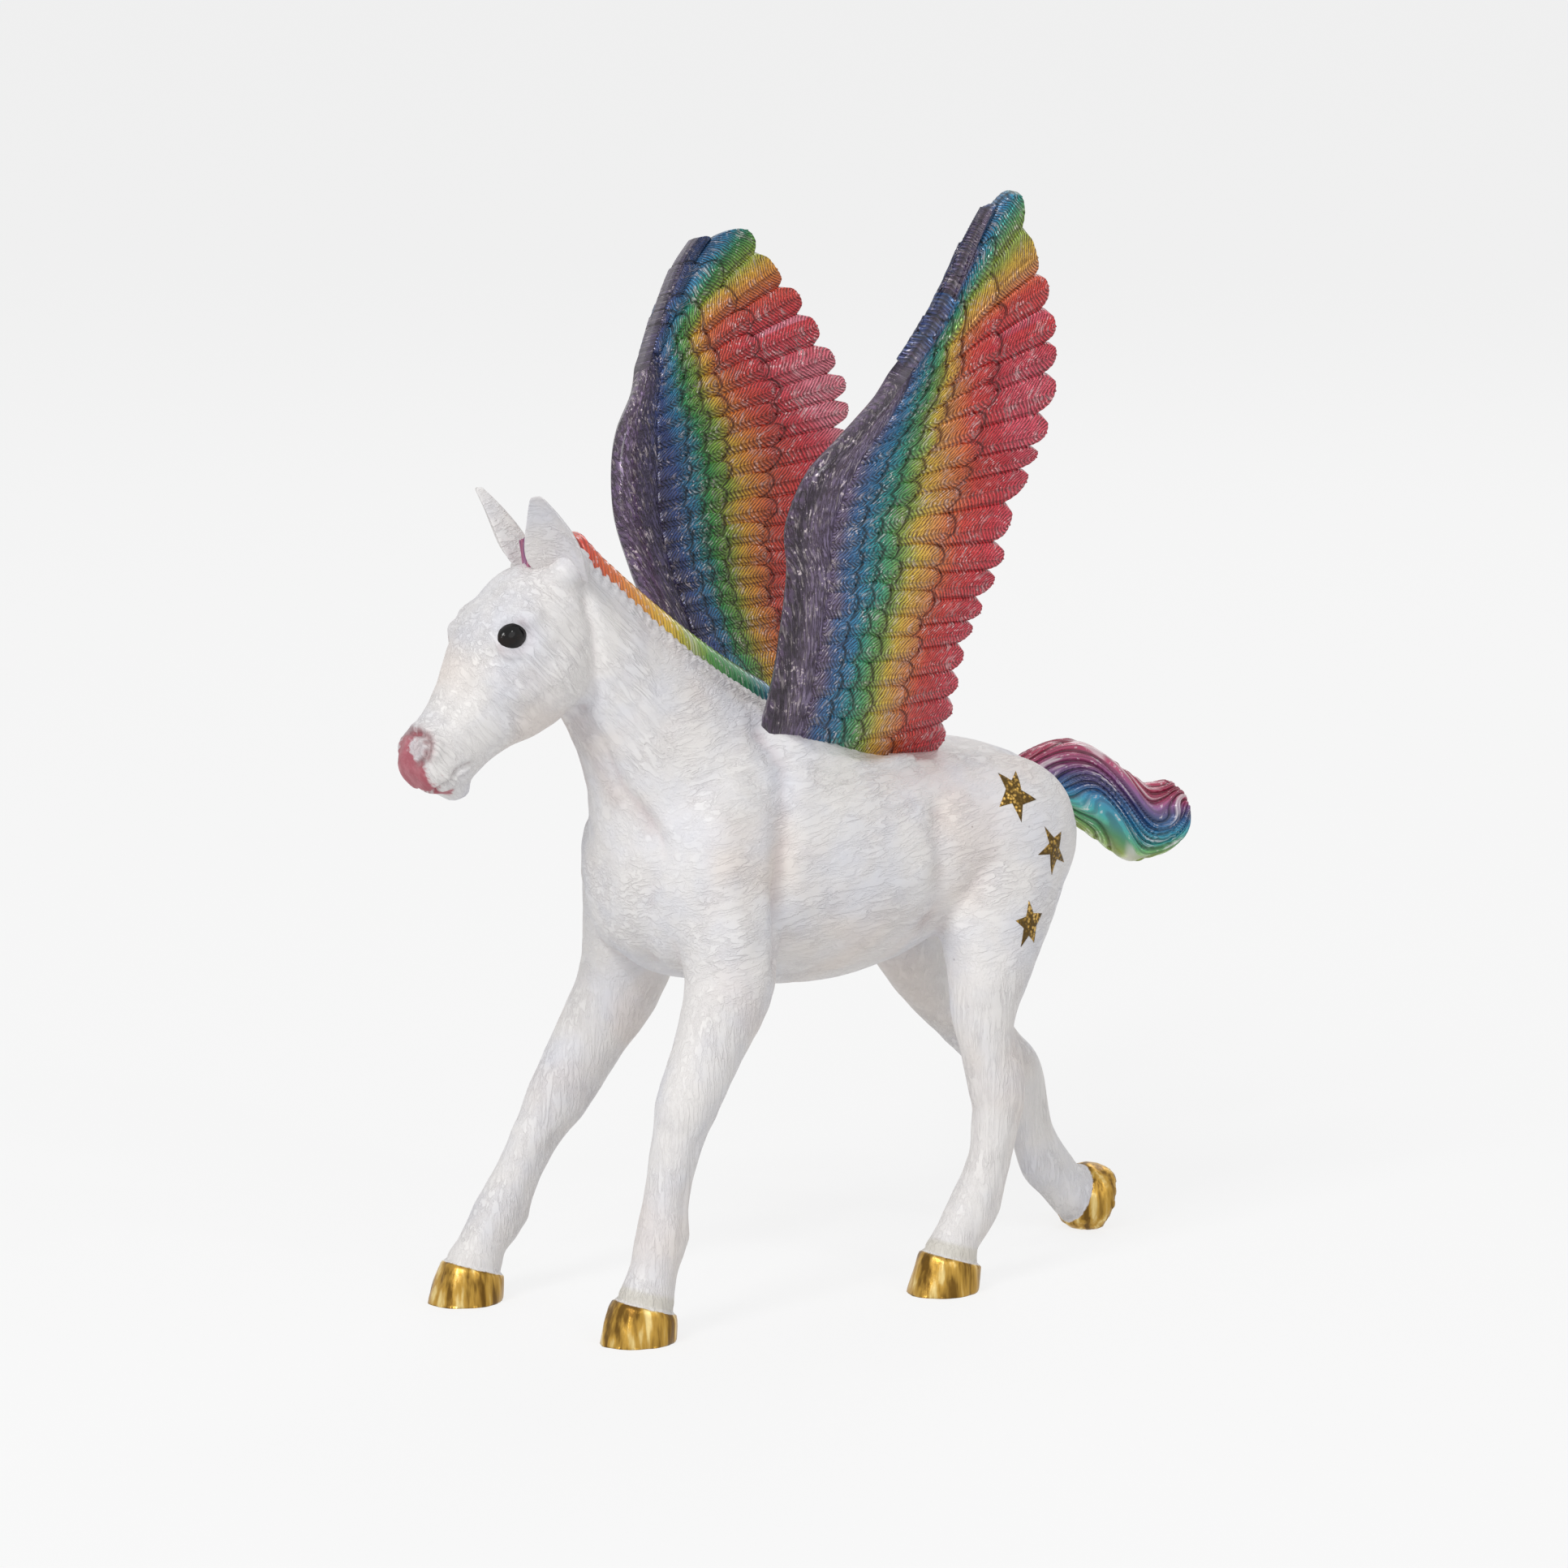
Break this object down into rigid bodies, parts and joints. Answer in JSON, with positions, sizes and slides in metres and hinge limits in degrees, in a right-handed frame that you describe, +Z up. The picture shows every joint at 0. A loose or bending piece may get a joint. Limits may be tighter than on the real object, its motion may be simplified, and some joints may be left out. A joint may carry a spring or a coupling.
{
  "type": "winged foal figurine",
  "caption": "Striding winged foal figurine with raised feathered wings, a lifted head, a wavy tail and flat-soled hooves.",
  "frame": {"origin": "bottom centre of the whole figurine, on the ground under the soles", "axes": "+Z up, the foal faces -Y, its left side is +X"},
  "size_m": [0.047, 0.092, 0.1063],
  "materials": {
    "body": "satin white paint with gold hooves and stars, pink muzzle and a rainbow mane and tail",
    "left_wing": "pearly rainbow paint, purple in front to red at the feather tips",
    "right_wing": "pearly rainbow paint, purple in front to red at the feather tips"
  },
  "bodies": {
    "root": {"body": "body", "left_wing": "left_wing", "right_wing": "right_wing"}
  },
  "joints": []
}
